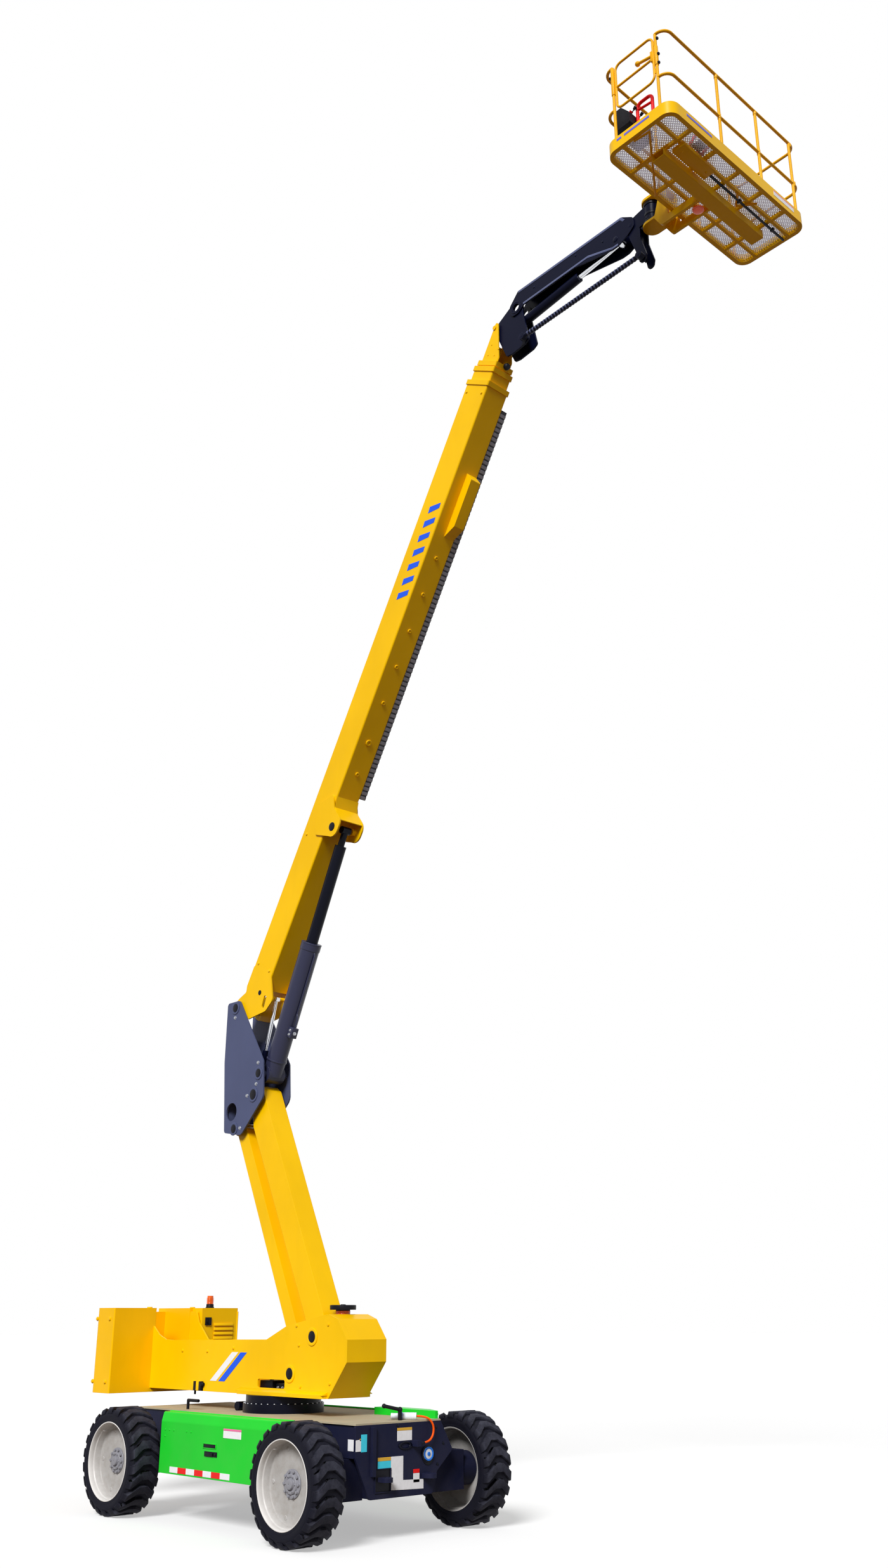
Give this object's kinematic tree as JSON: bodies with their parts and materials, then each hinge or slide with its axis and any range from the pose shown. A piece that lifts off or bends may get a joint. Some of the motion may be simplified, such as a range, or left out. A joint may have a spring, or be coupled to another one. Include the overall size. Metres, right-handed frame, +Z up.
{
  "type": "articulated telescopic boom lift",
  "caption": "Self-propelled boom lift on solid tyres: riser and parallel link, levelled knuckle, telescopic main boom, jib and a turning work platform with rails and gate.",
  "frame": {"origin": "on the ground under the slewing axis", "axes": "+X towards the fixed axle and the raised boom's reach, +Y to the machine's left, +Z up"},
  "size_m": [9.9651, 2.5, 14.05],
  "materials": {
    "safety_yellow": "satin yellow paint",
    "cover_green": "satin green paint",
    "frame_grey": "satin dark blue-grey paint",
    "knuckle_slate": "satin slate paint",
    "jib_navy": "satin dark navy paint",
    "deck_tan": "matt non-slip paint",
    "rim_silver": "silver paint",
    "tyre_black": "solid rubber",
    "bare_steel": "machined",
    "rod_chrome": "ground chrome",
    "ring_black": "satin black paint",
    "weight_yellow": "painted cast iron",
    "battery_grey": "moulded",
    "black_plastic": "moulded",
    "amber_lens": "clear amber",
    "lamp_orange": "orange",
    "cable_orange": "moulded",
    "plug_white": "moulded",
    "rail_yellow": "satin yellow paint",
    "guard_red": "satin red paint",
    "sheet_aluminium": "pressed mesh"
  },
  "bodies": {
    "chassis": {"chassis_frame": "frame_grey", "deck": "deck_tan", "fixed_axle_left": "frame_grey", "fixed_axle_right": "frame_grey", "steer_axle": "frame_grey", "battery_left": "battery_grey", "battery_right": "battery_grey", "slew_ring_lower": "ring_black", "swing_drive": "ring_black", "charge_cable": "cable_orange", "charge_plug": "plug_white", "standpipe": "black_plastic", "deck_lever": "black_plastic", "deck_box": "cover_green"},
    "cover_left": {"side_cover_left": "cover_green"},
    "cover_right": {"side_cover_right": "cover_green"},
    "wheel_front_left": {"tyre_front_left": "tyre_black", "rim_front_left": "rim_silver"},
    "wheel_front_right": {"tyre_front_right": "tyre_black", "rim_front_right": "rim_silver"},
    "wheel_rear_left": {"tyre_rear_left": "tyre_black", "rim_rear_left": "rim_silver"},
    "wheel_rear_right": {"tyre_rear_right": "tyre_black", "rim_rear_right": "rim_silver"},
    "steer_left": {"steer_knuckle_left": "frame_grey"},
    "steer_right": {"steer_knuckle_right": "frame_grey"},
    "tie_rod": {"tie_rod": "bare_steel"},
    "turntable": {"turntable_frame": "safety_yellow", "nose_cover": "safety_yellow", "counterweight": "weight_yellow", "service_cabinet": "safety_yellow", "beacon": "amber_lens", "front_lamp": "black_plastic", "slew_ring_upper": "ring_black"},
    "cabinet_door": {"cabinet_door": "safety_yellow"},
    "riser": {"riser": "safety_yellow"},
    "riser_link": {"riser_link": "safety_yellow"},
    "knuckle": {"knuckle": "knuckle_slate", "level_barrel": "jib_navy"},
    "level_rod": {"level_rod": "rod_chrome"},
    "boom": {"boom_base": "safety_yellow", "cable_carrier": "battery_grey"},
    "lift_barrel": {"lift_barrel": "frame_grey"},
    "lift_rod": {"lift_rod": "ring_black"},
    "boom_second": {"boom_second": "safety_yellow"},
    "boom_third": {"boom_third": "safety_yellow"},
    "boom_tip": {"boom_tip": "safety_yellow"},
    "jib_bracket": {"jib_bracket": "jib_navy"},
    "jib_beam": {"jib_beam": "jib_navy"},
    "jib_link": {"jib_link": "jib_navy"},
    "jib_barrel": {"jib_barrel": "jib_navy"},
    "jib_rod": {"jib_rod": "rod_chrome"},
    "jib_head": {"jib_head": "jib_navy"},
    "platform": {"platform_mount": "safety_yellow", "platform_floor": "safety_yellow", "platform_sheet": "sheet_aluminium", "platform_rails": "rail_yellow", "control_box": "black_plastic", "control_guard": "guard_red"},
    "gate": {"platform_gate": "rail_yellow"}
  },
  "joints": [
    {"name": "slew", "type": "hinge", "parent": "chassis", "child": "turntable", "pos_m": [0, 0, 1.11], "axis": [0, 0, 1], "continuous": true},
    {"name": "riser_lift", "type": "hinge", "parent": "turntable", "child": "riser", "pos_m": [0.793, 0, 1.767], "axis": [0, 1, 0], "range_deg": [-59, 7]},
    {"name": "riser_link_pin", "type": "hinge", "parent": "turntable", "child": "riser_link", "pos_m": [0.433, 0, 1.407], "axis": [0, 1, 0], "range_deg": [-59, 7]},
    {"name": "knuckle_level", "type": "hinge", "parent": "riser", "child": "knuckle", "pos_m": [-0.53946, 0, 4.3821], "axis": [0, 1, 0], "range_deg": [-7, 59]},
    {"name": "boom_lift", "type": "hinge", "parent": "knuckle", "child": "boom", "pos_m": [-0.98746, 0, 5.4681], "axis": [0, -1, 0], "range_deg": [-59.5, 10.5]},
    {"name": "lift_barrel_pin", "type": "hinge", "parent": "knuckle", "child": "lift_barrel", "pos_m": [-0.45446, 0, 4.6201], "axis": [0, -1, 0], "range_deg": [-56, 10]},
    {"name": "lift_rod_slide", "type": "slide", "parent": "lift_barrel", "child": "lift_rod", "axis": [0.4175, 0, 0.9087], "range_m": [-1, 0.18]},
    {"name": "level_rod_slide", "type": "slide", "parent": "knuckle", "child": "level_rod", "axis": [0.2947, 0, 0.9556], "range_m": [-0.56, 0.1]},
    {"name": "telescope_second", "type": "slide", "parent": "boom", "child": "boom_second", "axis": [0.5075, 0, 0.8616], "range_m": [0, 3.5]},
    {"name": "telescope_third", "type": "slide", "parent": "boom_second", "child": "boom_third", "axis": [0.5075, 0, 0.8616], "range_m": [0, 3.5]},
    {"name": "telescope_tip", "type": "slide", "parent": "boom_third", "child": "boom_tip", "axis": [0.5075, 0, 0.8616], "range_m": [0, 3.5]},
    {"name": "jib_level", "type": "hinge", "parent": "boom_tip", "child": "jib_bracket", "pos_m": [3.53612, 0, 12.9703], "axis": [0, -1, 0], "range_deg": [-10.6, 59.6]},
    {"name": "jib_lift", "type": "hinge", "parent": "jib_bracket", "child": "jib_beam", "pos_m": [3.87012, 0, 13.0803], "axis": [0, -1, 0], "range_deg": [-70, 60]},
    {"name": "jib_link_pin", "type": "hinge", "parent": "jib_bracket", "child": "jib_link", "pos_m": [4.00512, 0, 12.5503], "axis": [0, -1, 0], "range_deg": [-70, 60]},
    {"name": "jib_barrel_pin", "type": "hinge", "parent": "jib_bracket", "child": "jib_barrel", "pos_m": [3.71012, 0, 12.8703], "axis": [0, -1, 0], "range_deg": [-65, 56]},
    {"name": "jib_rod_slide", "type": "slide", "parent": "jib_barrel", "child": "jib_rod", "axis": [0.9931, 0, 0.1172], "range_m": [-0.22, 0.19]},
    {"name": "head_level", "type": "hinge", "parent": "jib_beam", "child": "jib_head", "pos_m": [5.61012, 0, 13.1253], "axis": [0, -1, 0], "range_deg": [-60, 70]},
    {"name": "platform_turn", "type": "hinge", "parent": "jib_head", "child": "platform", "pos_m": [5.85012, 0, 13.01], "axis": [0, 0, 1], "range_deg": [-85, 85]},
    {"name": "gate_hinge", "type": "hinge", "parent": "platform", "child": "gate", "pos_m": [6.87012, -1.1477, 13.7], "axis": [0, 0, 1], "range_deg": [0, 90]},
    {"name": "steer_left_kingpin", "type": "hinge", "parent": "chassis", "child": "steer_left", "pos_m": [-1.42, 0.92, 0.528], "axis": [0, 0, 1], "range_deg": [-28, 28]},
    {"name": "steer_right_kingpin", "type": "hinge", "parent": "chassis", "child": "steer_right", "pos_m": [-1.42, -0.92, 0.528], "axis": [0, 0, 1], "range_deg": [-28, 28]},
    {"name": "tie_rod_pin", "type": "hinge", "parent": "steer_left", "child": "tie_rod", "pos_m": [-1.66, 0.92, 0.528], "axis": [0, 0, 1], "range_deg": [-28, 28]},
    {"name": "wheel_front_left_axle", "type": "hinge", "parent": "chassis", "child": "wheel_front_left", "pos_m": [1.66, 1.065, 0.528], "axis": [0, 1, 0], "continuous": true},
    {"name": "wheel_front_right_axle", "type": "hinge", "parent": "chassis", "child": "wheel_front_right", "pos_m": [1.66, -1.065, 0.528], "axis": [0, 1, 0], "continuous": true},
    {"name": "wheel_rear_left_axle", "type": "hinge", "parent": "steer_left", "child": "wheel_rear_left", "pos_m": [-1.42, 1.065, 0.528], "axis": [0, 1, 0], "continuous": true},
    {"name": "wheel_rear_right_axle", "type": "hinge", "parent": "steer_right", "child": "wheel_rear_right", "pos_m": [-1.42, -1.065, 0.528], "axis": [0, 1, 0], "continuous": true},
    {"name": "cover_left_hinge", "type": "hinge", "parent": "chassis", "child": "cover_left", "pos_m": [0.2, 0.895, 1.03], "axis": [1, 0, 0], "range_deg": [0, 75]},
    {"name": "cover_right_hinge", "type": "hinge", "parent": "chassis", "child": "cover_right", "pos_m": [0.2, -0.895, 1.03], "axis": [-1, 0, 0], "range_deg": [0, 75]},
    {"name": "cabinet_door_hinge", "type": "hinge", "parent": "turntable", "child": "cabinet_door", "pos_m": [-2.0447, 0.79, 1.66], "axis": [0, 0, 1], "range_deg": [0, 110]}
  ],
  "couplings": [
    {"joint": "riser_link_pin", "follows": "riser_lift", "ratio": 1},
    {"joint": "knuckle_level", "follows": "riser_lift", "ratio": -1},
    {"joint": "lift_barrel_pin", "follows": "boom_lift", "ratio": 0.9175},
    {"joint": "lift_rod_slide", "follows": "boom_lift", "m_per_rad": 0.9375},
    {"joint": "level_rod_slide", "follows": "boom_lift", "m_per_rad": 0.525},
    {"joint": "jib_level", "follows": "boom_lift", "ratio": -1},
    {"joint": "telescope_third", "follows": "telescope_second", "ratio": 1},
    {"joint": "telescope_tip", "follows": "telescope_second", "ratio": 1},
    {"joint": "jib_link_pin", "follows": "jib_lift", "ratio": 1},
    {"joint": "jib_barrel_pin", "follows": "jib_lift", "ratio": 0.9125},
    {"joint": "jib_rod_slide", "follows": "jib_lift", "m_per_rad": 0.1775},
    {"joint": "head_level", "follows": "jib_lift", "ratio": -1},
    {"joint": "steer_right_kingpin", "follows": "steer_left_kingpin", "ratio": 1},
    {"joint": "tie_rod_pin", "follows": "steer_left_kingpin", "ratio": -1}
  ]
}
